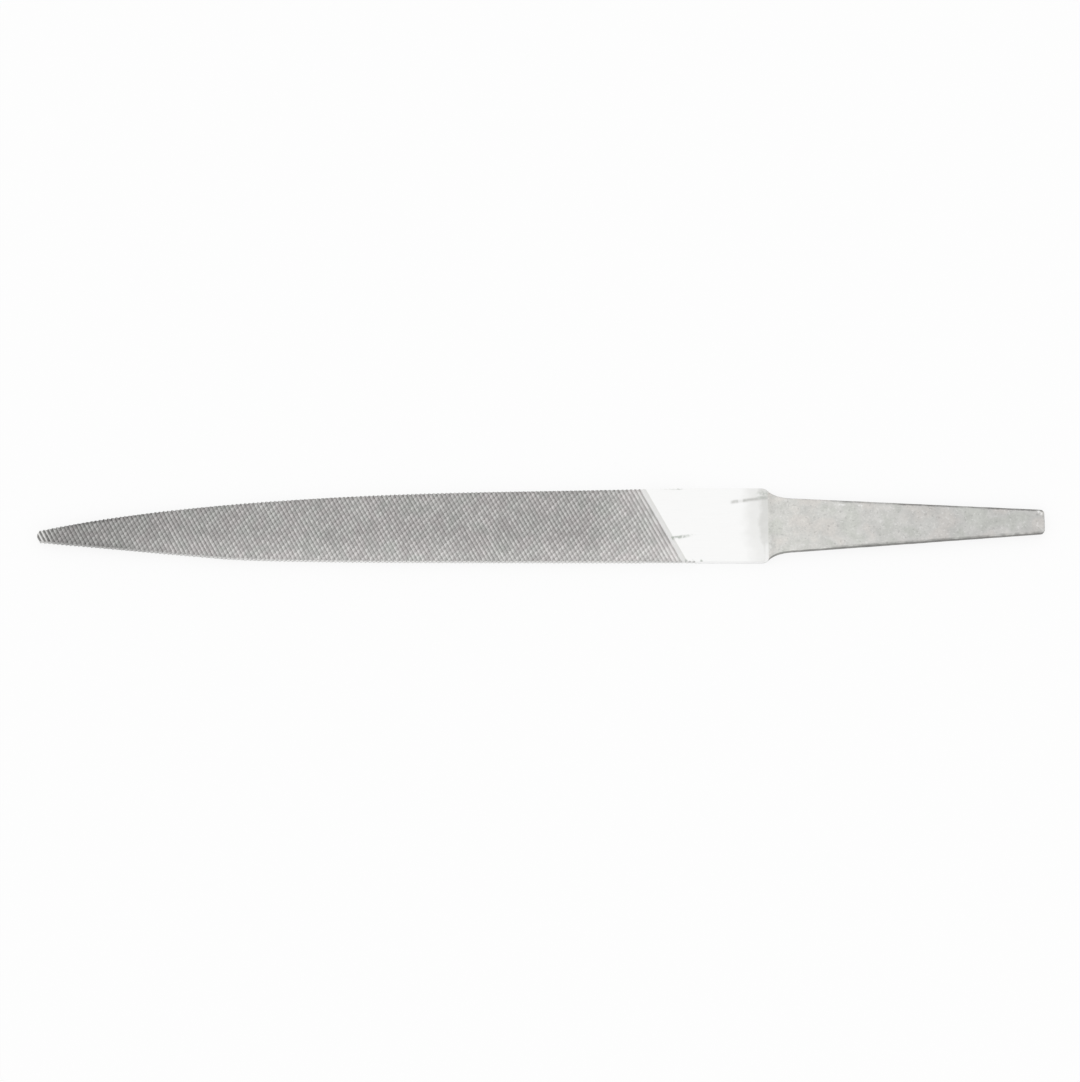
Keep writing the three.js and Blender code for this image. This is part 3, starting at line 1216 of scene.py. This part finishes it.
@dataclass(frozen=True)
class ForgedSteel:
    """Forged and blasted steel: light grey with a fine speckle, darker towards the end and on its sides.

    The narrow sides and a broken rim along both edges of a face are dark: forging scale and painted shade.
    """

    bar: Bar
    root_width: float
    end_width: float
    end_offset: float
    face_height: float
    root_colour: Colour = (0.705, 0.702, 0.676)
    end_colour: Colour = (0.59, 0.587, 0.572)
    end_fade: Ramp = Ramp(-0.2, 0.8)
    clouds: Pattern = Pattern(1.5 * MM, 3.0, 0.65)
    cloud_share: float = 0.46
    speckle: Pattern = Pattern(0.3 * MM, 3.0, 0.7)
    speckle_share: float = 0.42
    least_tone: float = 0.57
    # A darker band just past the shoulder: painted shade where the tang meets the heel.
    hollow_at: float = 0.5 * MM
    hollow: Ramp = Ramp(0.7 * MM, 0.0, 0.0, 0.08)
    dark_colour: Colour = (0.19, 0.186, 0.18)
    light_colour: Colour = (0.90, 0.90, 0.89)
    covers: tuple[Cover, ...] = (
        Cover(Pattern(3.0 * MM, ramp=Ramp(0.5, 0.65)), (1.0, 0.98, 0.972), Blend.MULTIPLY),
        Cover(Pattern(3.0 * MM, ramp=Ramp(0.5, 0.35)), (0.975, 0.99, 0.972), Blend.MULTIPLY),
        Cover(Pattern(0.42 * MM, 1.0, ramp=Ramp(0.36, 0.28, 0.0, 0.2)), dark_colour),
        Cover(Pattern(0.33 * MM, 1.0, 0.3, ramp=Ramp(0.64, 0.72, 0.0, 0.25)), light_colour),
    )
    flecks: tuple[Spot, ...] = (
        Spot(100.2 * MM, -2.9 * MM, 0.45 * MM, 1.9 * MM, 0.5),
        Spot(109.9 * MM, 2.85 * MM, 1.2 * MM, 0.28 * MM, 0.9, turn=-3.0),
        Spot(112.7 * MM, 2.75 * MM, 0.5 * MM, 0.25 * MM, 0.9),
        Spot(137.3 * MM, 1.75 * MM, 0.75 * MM, 0.32 * MM, 1.0, turn=-42.0),
    )
    # Dark narrow sides: forging scale with painted shade.
    side: Ramp = Ramp(0.08, 0.5, 0.0, 0.8)
    side_edge: Pattern = Pattern(0.5 * MM, levels=(-0.15, 0.15))
    side_scale_and_shade: Pattern = Pattern(0.8 * MM, ramp=Ramp(0.2, 0.7, 0.7, 1.0))
    rim: Ramp = Ramp(-0.4 * MM, -0.12 * MM)
    rim_edge: Pattern = Pattern(0.5 * MM, levels=(-0.12 * MM, 0.12 * MM))
    rim_start: Ramp = Ramp(6.0 * MM, 12.0 * MM)
    rim_breaks: Pattern = Pattern(2.4 * MM, 3.0, 0.6, ramp=Ramp(0.38, 0.58, 0.05, 0.55))
    far_rim: Ramp = Ramp(-0.5 * MM, 0.5 * MM, 0.0, 0.35)
    far_rim_shares: Ramp = Ramp(0.1, 0.6)
    roughness: float = 0.5
    speckle_roughness: float = 0.2
    cloud_relief: float = 0.5
    relief_height: float = 0.03 * MM
    relief_strength: float = 0.6

    def material(self) -> bpy.types.Material:
        """Make the finish.

        Returns:
            The material.
        """
        material, shader = new_shader("forged_steel")
        place = Place.read(shader, self.bar)
        share = place.from_shoulder / self.bar.tang_length
        clouds, speckle = place.noise(self.clouds), place.noise(self.speckle)
        hollow = abs(place.from_shoulder - self.hollow_at).ramp(self.hollow)
        tone = clouds * self.cloud_share + speckle * self.speckle_share + self.least_tone - hollow
        side = (shader.mark(Mark.SIDE) + place.noise(self.side_edge)).ramp(self.side)
        grey = shader.mix(share.ramp(self.end_fade), self.root_colour, self.end_colour)
        colour = shader.layered(shader.shade(grey, tone), [
            *place.covers(self.covers),
            Layer(self.scale_and_shade_rim(place, share), self.dark_colour),
            *place.spots(self.flecks, self.light_colour, self.bar.origin(self.face_height)),
            Layer(side * place.noise(self.side_scale_and_shade), self.dark_colour),
        ])
        roughness = self.roughness + speckle * self.speckle_roughness
        relief = speckle + clouds * self.cloud_relief
        shader.steel(colour, roughness, shader.bump(relief, self.relief_height, self.relief_strength))
        return material

    def scale_and_shade_rim(self, place: Place, share: Socket) -> Socket:
        """Mark the broken dark line along both edges of a face: forging scale and painted edge shade.

        Args:
            place: the spot.
            share: how much of the tang's length lies before it.

        Returns:
            How strong the line is, from 0 to 1.
        """
        half = share.between(self.root_width / 2, self.end_width / 2)
        from_middle = place.y - share * self.end_offset
        strip = (abs(from_middle) - half + place.noise(self.rim_edge)).ramp(self.rim)
        far = from_middle.ramp(self.far_rim) * share.ramp(self.far_rim_shares)
        return strip * (place.noise(self.rim_breaks) + far) * place.from_shoulder.ramp(self.rim_start)


def finish_piece(
    piece: bpy.types.Object,
    material: bpy.types.Material,
    node: str,
    smooth_to: float | None = None,
) -> None:
    """Give a piece its material and body, and hide the solid that it stands for.

    Args:
        piece: the piece.
        material: its finish.
        node: the solid that it stands for.
        smooth_to: the angle in degrees up to which neighbouring faces are shaded as one, or None.
    """
    piece.data.materials.clear()
    piece.data.materials.append(material)
    if smooth_to is not None:
        piece.data.shade_smooth()
        piece.data.set_sharp_from_angle(angle=math.radians(smooth_to))
    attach(piece, "root")
    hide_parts(node)


@dataclass
class Zone(ABC):
    """One zone of the bar of steel that the file is made of."""

    plan: Plan

    @property
    def bar(self) -> Bar:
        """Return the bar."""
        return self.plan.bar

    @abstractmethod
    def build(self) -> bpy.types.Object:
        """Shape the zone as one closed object."""

    @abstractmethod
    def dress(self, piece: bpy.types.Object) -> None:
        """Give the zone its finish and body."""


@dataclass
class ToothedBlade(Zone):
    """The cut part of the bar: both faces double cut, and one row of teeth on each long edge.

    The shares and levels are the places and heights of the points of a tooth, for each of the two cuts.
    """

    cutting: Cutting
    overrun: float = 1.0 * MM
    up_shares: tuple[float, ...] = (0.0, 0.25, 0.6)
    up_levels: tuple[float, ...] = (0.0, 1.0, 0.42)
    over_shares: tuple[float, ...] = (0.0, 0.28, 0.62)
    over_levels: tuple[float, ...] = (0.0, 1.0, 0.5)
    unevenness: float = 0.012 * MM
    waver: float = 0.012 * MM
    seed: int = 7

    def build(self) -> bpy.types.Object:
        """Cut the blade out of its blank.

        Returns:
            The blade as one closed object.
        """
        blank = plan_solid(self.plan.outline(), self.bar.face_height + self.overrun)
        blade = object_from(blank, "toothed_blade_steel")
        shapes = []
        for face in Face:
            shapes += [self.tooth_cutter(face), half_lap(self.cutting, face, Room.HEEL)]
        take_away(blade, shapes)
        self.plan.mark_edge_roots(blade)
        self.bar.set_down(blade)
        return blade

    def tooth_cutter(self, face: Face) -> bmesh.types.BMesh:
        """Make what the chisels take off one face, with air above it.

        Args:
            face: the face that is cut.

        Returns:
            A closed solid whose underside is the teeth.
        """
        bm = self.tooth_sheet(random.Random(self.seed + face.value))
        reach = self.bar.half_width + self.overrun
        middles = [(entry, entry.calc_center_median()) for entry in bm.faces]
        outside = [entry for entry, middle in middles if abs(middle.y) > reach or middle.x < -self.overrun]
        bmesh.ops.delete(bm, geom=outside, context="FACES")
        for vert in raised(bm):
            vert.co.z = self.bar.face_height + 2 * self.overrun
        bmesh.ops.recalc_face_normals(bm, faces=bm.faces[:])
        turn_to(bm, face)
        return bm

    def tooth_sheet(self, chance: random.Random) -> bmesh.types.BMesh:
        """Lay out the points of all teeth of a face as a sheet that reaches past the bar.

        Args:
            chance: where the small differences between rows and between teeth come from.

        Returns:
            The open sheet.
        """
        up, over = self.cutting.up, self.cutting.over
        up_parts, over_parts = len(self.up_shares), len(self.over_shares)
        span = self.cutting.end + 2 * self.bar.half_width
        sideways = self.bar.half_width * self.cutting.step
        rows = math.ceil(span / up.pitch)
        columns = math.ceil((span + 2 * sideways) / over.pitch)
        past_end = math.ceil(sideways / over.pitch)
        row_bias = [chance.uniform(-self.waver, self.waver) for _ in range(rows + 2)]
        tooth_bias = {}
        bm = bmesh.new()
        bmesh.ops.create_grid(bm, x_segments=columns * over_parts, y_segments=rows * up_parts, size=1.0)
        for vert in bm.verts:
            column, over_part = divmod(round((vert.co.x + 1) / 2 * columns * over_parts), over_parts)
            row, up_part = divmod(round((vert.co.y + 1) / 2 * rows * up_parts), up_parts)
            up_at = (row + 1 - rows + self.up_shares[up_part]) * up.pitch
            over_at = (column - columns + past_end + self.over_shares[over_part]) * over.pitch
            if up_part:
                up_at += row_bias[row]
            place = self.cutting.crossing(up_at, over_at)
            if (row, column) not in tooth_bias:
                tooth_bias[row, column] = chance.uniform(-self.unevenness, 0)
            height = self.height(place, up_at, up_part, over_part, tooth_bias[row, column])
            vert.co = Vector((place.x, place.y, height))
        return bm

    def height(self, place: Vector, up_at: float, up_part: int, over_part: int, bias: float) -> float:
        """Work out how high the cut steel stands at one point of a tooth.

        Args:
            place: the point in plan.
            up_at: its place in the up-cut, from the end of the cut.
            up_part: which part of a tooth of the up-cut it is.
            over_part: which part of a tooth of the over-cut it is.
            bias: how far this tooth is out.

        Returns:
            The height over the middle of the bar.
        """
        cutting = self.cutting
        over_share = min(1.0, max(0.0, (-up_at - cutting.over_cut_stop) / cutting.over_cut_fade))
        wear = min(1.0, max(cutting.worn_share, place.x / cutting.point_wear))
        in_last_back = up_at > (cutting.front_share / 2 - 1) * cutting.up.pitch
        up_drop = 0.0 if in_last_back else (1 - self.up_levels[up_part]) * cutting.up.depth
        over_drop = (1 - self.over_levels[over_part]) * cutting.over.depth * over_share
        return self.bar.tip_height + bias * over_share - (up_drop + over_drop) * wear

    def dress(self, piece: bpy.types.Object) -> None:
        """Give the blade its finish and body."""
        finish = ToothedSteel(self.plan, self.cutting)
        finish_piece(piece, finish.material(), "toothed_blade")


@dataclass
class Heel(Zone):
    """The bare ground stretch between the teeth and the tang, thinned towards the shoulder."""

    cutting: Cutting
    spare_half_widths: float = 3.0
    burr_width: float = 0.3 * MM
    burr_steps: int = 3
    thinning: float = 2.8 * MM
    thinning_steps: int = 8
    shoulder_thickness: float = 1.1 * MM
    edge_round: float = 0.1 * MM
    edge_segments: int = 3
    facet_start: Vector = field(default_factory=lambda: Vector((95.1, 3.19, 0.65)) * MM)
    facet_end: Vector = field(default_factory=lambda: Vector((99.9, 3.9, 0.545)) * MM)
    facet_fall: float = 4.0
    smooth_to: float = 25.0

    def build(self) -> bpy.types.Object:
        """Shape the heel. Its blank reaches past the slanting lines where the cuts end.

        Returns:
            The heel as one closed object.
        """
        bm = plan_solid(self.plan.outline(), self.bar.face_height)
        spare = self.spare_half_widths * self.bar.half_width * self.cutting.up.slope
        cut_off(bm, Vector((self.cutting.end - spare, 0, 0)), Vector((-1, 0, 0)))
        self.round_edges(bm)
        self.thin(bm)
        self.raise_burr(bm)
        self.cut_facet(bm)
        heel = object_from(bm, "heel_steel")
        take_away(heel, [half_lap(self.cutting, face, Room.TEETH) for face in Face])
        self.plan.mark_edge_roots(heel)
        self.bar.set_down(heel)
        return heel

    def round_edges(self, bm: bmesh.types.BMesh) -> None:
        """Round the long edges of the bare stretch.

        Args:
            bm: the heel so far.
        """
        start = self.plan.teeth_end - self.plan.edge_pitch / 2
        edges = [
            edge for edge in level_edges(bm)
            if all(vert.co.x > start for vert in edge.verts) and edge.verts[0].co.y * edge.verts[1].co.y > 0
        ]
        round_off(bm, edges, self.edge_round, self.edge_segments)

    def thin(self, bm: bmesh.types.BMesh) -> None:
        """Let both faces fall off towards the shoulder.

        Args:
            bm: the heel so far.
        """
        start = self.bar.body_length - self.thinning
        step = self.thinning / self.thinning_steps
        slice_across(bm, Vector((1, 0, 0)), [start + step * index for index in range(self.thinning_steps)])
        drop = 1 - self.shoulder_thickness / self.bar.thickness
        for vert in bm.verts:
            share = max(0.0, (vert.co.x - start) / self.thinning)
            vert.co.z *= 1 - drop * share**2

    def raise_burr(self, bm: bmesh.types.BMesh) -> None:
        """Raise the burr that the last row of teeth leaves along the end of each cut.

        Args:
            bm: the heel so far.
        """
        rise = self.bar.tip_height - self.bar.face_height
        step, end = self.burr_width / self.burr_steps, self.cutting.end
        for face in Face:
            across = Vector((1, face.value * self.cutting.up.slope, 0))
            lines = [(end + step * index) / across.length for index in range(self.burr_steps + 1)]
            slice_across(bm, across, lines)
            for vert in bm.verts:
                from_cut = vert.co.x + vert.co.y * face.value * self.cutting.up.slope - end
                if vert.co.z * face.value > self.bar.face_height / 2:
                    share = min(1.0, max(0.0, 1 - from_cut / self.burr_width))
                    vert.co.z += face.value * rise * share

    def cut_facet(self, bm: bmesh.types.BMesh) -> None:
        """Grind the shallow slanting facet at the shoulder corner of the upper face.

        Args:
            bm: the heel so far.
        """
        along = (self.facet_end - self.facet_start).normalized()
        fall = math.radians(self.facet_fall)
        down = Vector((0, math.cos(fall), -math.sin(fall)))
        cut_off(bm, self.facet_start, along.cross(down))

    def dress(self, piece: bpy.types.Object) -> None:
        """Give the heel its finish and body."""
        finish = GroundSteel(self.plan, self.cutting, self.bar.face_height - self.edge_round)
        finish_piece(piece, finish.material(), "heel", self.smooth_to)


@dataclass
class Tang(Zone):
    """The forged tang that a handle is driven on: hollow at the shoulder, tapering to its end."""

    root_width: float = 7.9 * MM
    end_width: float = 3.3 * MM
    end_offset: float = 0.53 * MM
    root_thickness: float = 1.1 * MM
    end_thickness: float = 0.9 * MM
    hollow_length: float = 3.2 * MM
    hollow_corner: float = 0.9 * MM
    hollow_steps: int = 10
    end_corner: float = 0.6 * MM
    end_corner_steps: int = 6
    edge_round: float = 0.17 * MM
    edge_segments: int = 3
    grid: float = 0.26 * MM
    dents: float = 0.02 * MM
    dent_size: float = 1.6 * MM
    dent_level: float = 0.35
    pits: float = 0.007 * MM
    pit_size: float = 0.35 * MM
    pit_level: float = 0.5
    smooth_to: float = 50.0

    def on_edge(self, along: float, edge: Edge) -> Vector:
        """Find a place on the straight taper of one side.

        Args:
            along: the distance from the shoulder.
            edge: which side.

        Returns:
            The place in plan, from the point of the file.
        """
        share = along / self.bar.tang_length
        half = (self.root_width + (self.end_width - self.root_width) * share) / 2
        return Vector((self.bar.body_length + along, self.end_offset * share + edge.value * half, 0))

    def side_line(self, edge: Edge) -> list[Vector]:
        """Draw one side in plan.

        Args:
            edge: which side.

        Returns:
            Its points, from the shoulder to the end.
        """
        length = self.bar.tang_length
        places = (self.hollow_corner, self.hollow_length, length - self.end_corner, length)
        hollow_corner, hollow_end, corner_start, corner = (self.on_edge(place, edge) for place in places)
        corner_end = Vector((corner.x, corner.y - edge.value * self.end_corner, 0))
        shoulder = self.plan.heel_corner(edge)[0]
        hollow = quadratic(shoulder, hollow_corner, hollow_end, self.hollow_steps)
        return hollow + quadratic(corner_start, corner, corner_end, self.end_corner_steps)

    def spaced(self, start: float, end: float) -> list[float]:
        """Spread places about a grid step apart between two ends, which are left out."""
        count = max(1, round((end - start) / self.grid))
        return [start + (end - start) * index / count for index in range(1, count)]

    def build(self) -> bpy.types.Object:
        """Forge the tang.

        Returns:
            The tang as one closed object.
        """
        start, side, half = self.bar.body_length, self.bar.half_width, self.root_thickness / 2
        bm = plan_solid(self.side_line(Edge.FAR) + self.side_line(Edge.NEAR)[::-1], half)
        self.round_edges(bm)
        slice_across(bm, Vector((1, 0, 0)), self.spaced(start, start + self.bar.tang_length))
        slice_across(bm, Vector((0, 1, 0)), self.spaced(-side, side))
        slice_across(bm, Vector((0, 0, 1)), self.spaced(-half + self.edge_round, half - self.edge_round))
        self.taper(bm)
        self.roughen(bm)
        tang = object_from(bm, "tang_steel")
        self.bar.set_down(tang)
        self.mark_sides(tang)
        return tang

    def round_edges(self, bm: bmesh.types.BMesh) -> None:
        """Round all edges but those that meet the shoulder.

        Args:
            bm: the tang so far.
        """
        start = self.bar.body_length + LEVEL
        edges = [edge for edge in level_edges(bm) if max(vert.co.x for vert in edge.verts) > start]
        round_off(bm, edges, self.edge_round, self.edge_segments)

    def taper(self, bm: bmesh.types.BMesh) -> None:
        """Thin the tang evenly towards its end.

        Args:
            bm: the tang so far.
        """
        drop = 1 - self.end_thickness / self.root_thickness
        for vert in bm.verts:
            vert.co.z *= 1 - drop * (vert.co.x - self.bar.body_length) / self.bar.tang_length

    def roughen(self, bm: bmesh.types.BMesh) -> None:
        """Dent the faces as hammer and blasting do, and let the dents fade at the shoulder.

        Args:
            bm: the tang so far.
        """
        bm.normal_update()
        for vert in bm.verts:
            from_shoulder = vert.co.x - self.bar.body_length
            share = min(1.0, max(0.0, from_shoulder / self.hollow_corner))
            dent = noise.noise(vert.co / self.dent_size) - self.dent_level
            pit = noise.noise(vert.co / self.pit_size) - self.pit_level
            depth = self.dents * dent + self.pits * pit
            vert.co += vert.normal * min(0.0, depth) * share

    def mark_sides(self, tang: bpy.types.Object) -> None:
        """Store how far each point lies on the narrow sides, darkened as scale and painted shade.

        Args:
            tang: the tang, where the file lies.
        """
        levels = []
        for vert in tang.data.vertices:
            normal = vert.normal.copy()
            if vert.co.x < self.bar.shoulder + self.grid / 2:
                normal.x = 0
                normal.normalize()
            levels.append(1 - abs(normal.z))
        Mark.SIDE.store(tang, levels)

    def dress(self, piece: bpy.types.Object) -> None:
        """Give the tang its finish and body."""
        finish = ForgedSteel(
            self.bar, self.root_width, self.end_width, self.end_offset, self.end_thickness / 2
        )
        finish_piece(piece, finish.material(), "tang", self.smooth_to)


@dataclass(frozen=True)
class Lamp:
    """A soft square lamp that looks at the file: its place and side in metres and its power in watts."""

    name: str
    place: tuple[float, float, float]
    side: float
    power: float

    def hang(self) -> None:
        """Hang the lamp."""
        data = bpy.data.lights.new(self.name, "AREA")
        data.shape, data.size, data.energy = "SQUARE", self.side, self.power
        lamp = bpy.data.objects.new(self.name, data)
        lamp.location = self.place
        lamp.rotation_euler = (-Vector(self.place)).to_track_quat("-Z", "Y").to_euler()
        bpy.context.scene.collection.objects.link(lamp)


@dataclass
class Studio:
    """The camera at the photograph's angle, a pale floor and plain soft light."""

    bar: Bar
    photo_width_px: int = 1080
    point_px: float = 37.0
    shoulder_px: float = 768.5
    elevation: float = 75.0
    look_at: Vector = field(default_factory=lambda: Vector((-0.19, -2.33, 1.34)) * MM)
    lens: float = 120.0
    sensor: float = 36.0
    clip: Pair = (10 * MM, 10.0)
    floor_size: float = 3.0
    paper: Colour = (0.97, 0.97, 0.97)
    white: Colour = (1.0, 1.0, 1.0)
    floor_glow: float = 0.8
    sky: float = 0.93
    lamps: tuple[Lamp, ...] = (
        Lamp("key_lamp", (0.45, -0.25, 0.40), 0.65, 0.12),
        Lamp("fill_lamp", (-0.55, 0.10, 0.45), 0.55, 0.07),
    )

    def place_camera(self) -> None:
        """Set the camera where the photograph was taken from."""
        width = self.photo_width_px * self.bar.body_length / (self.shoulder_px - self.point_px)
        distance = width * self.lens / self.sensor
        rise = math.radians(self.elevation)
        data = bpy.data.cameras.new("camera")
        data.lens, data.sensor_width, data.sensor_fit = self.lens, self.sensor, "HORIZONTAL"
        data.clip_start, data.clip_end = self.clip
        camera = bpy.data.objects.new("camera", data)
        camera.location = self.look_at + distance * Vector((0, -math.cos(rise), math.sin(rise)))
        camera.rotation_euler = (math.pi / 2 - rise, 0, 0)
        bpy.context.scene.collection.objects.link(camera)
        bpy.context.scene.camera = camera

    @staticmethod
    def background_rays(shader: Shader, camera_share: float) -> Socket:
        """Tell the rays that show the background from those that light it.

        Args:
            shader: the material or the world.
            camera_share: what the camera's own rays count. Those in metal and glass count 1.

        Returns:
            The share, from 0 to 1.
        """
        rays = shader.node("ShaderNodeLightPath")
        mirrored = rays.out("Is Glossy Ray") + rays.out("Is Transmission Ray")
        return (rays.out("Is Camera Ray") * camera_share + mirrored).math("MINIMUM", 1.0)

    def lay_floor(self) -> None:
        """Lay the pale floor that the file rests on."""
        bm = bmesh.new()
        bmesh.ops.create_grid(bm, x_segments=1, y_segments=1, size=self.floor_size / 2)
        floor = object_from(bm, "floor")
        material, shader = new_shader("pale_paper")
        matt = shader.node("ShaderNodeBsdfDiffuse", sockets={"Color": (*self.paper, 1.0)}).out()
        light = {"Color": (*self.white, 1.0), "Strength": 1.0}
        white = shader.node("ShaderNodeEmission", sockets=light).out()
        seen = self.background_rays(shader, self.floor_glow)
        surface = shader.node("ShaderNodeMixShader", sockets={0: seen, 1: matt, 2: white}).out()
        shader.node("ShaderNodeOutputMaterial", sockets={"Surface": surface})
        floor.data.materials.append(material)

    def hang_sky(self) -> None:
        """Surround the stage with plain white, a little dimmer where it lights matt surfaces."""
        world = bpy.data.worlds.new("studio")
        world.use_nodes = True
        bpy.context.scene.world = world
        shader = Shader(world.node_tree)
        level = self.background_rays(shader, 1.0).between(self.sky, 1.0)
        sockets = {"Color": (*self.white, 1.0), "Strength": level}
        sky = shader.node("ShaderNodeBackground", sockets=sockets).out()
        shader.node("ShaderNodeOutputWorld", sockets={"Surface": sky})

    def build(self) -> None:
        """Set up camera, floor, sky and lamps, and the plain view that colours are shown in."""
        self.place_camera()
        self.lay_floor()
        self.hang_sky()
        for lamp in self.lamps:
            lamp.hang()
        bpy.context.scene.view_settings.view_transform = "Standard"


def main() -> None:
    """Build the studio, camera first, and then the three zones of the file."""
    logging.basicConfig(level=logging.INFO, format="%(name)s: %(message)s")
    bar = Bar.from_frame()
    Studio(bar).build()
    plan, cutting = Plan(bar), Cutting(bar)
    zones: tuple[Zone, ...] = (ToothedBlade(plan, cutting), Heel(plan, cutting), Tang(plan))
    for zone in zones:
        piece = zone.build()
        zone.dress(piece)
        log.info("%s: %d faces", piece.name, len(piece.data.polygons))


if __name__ == "__main__":
    main()
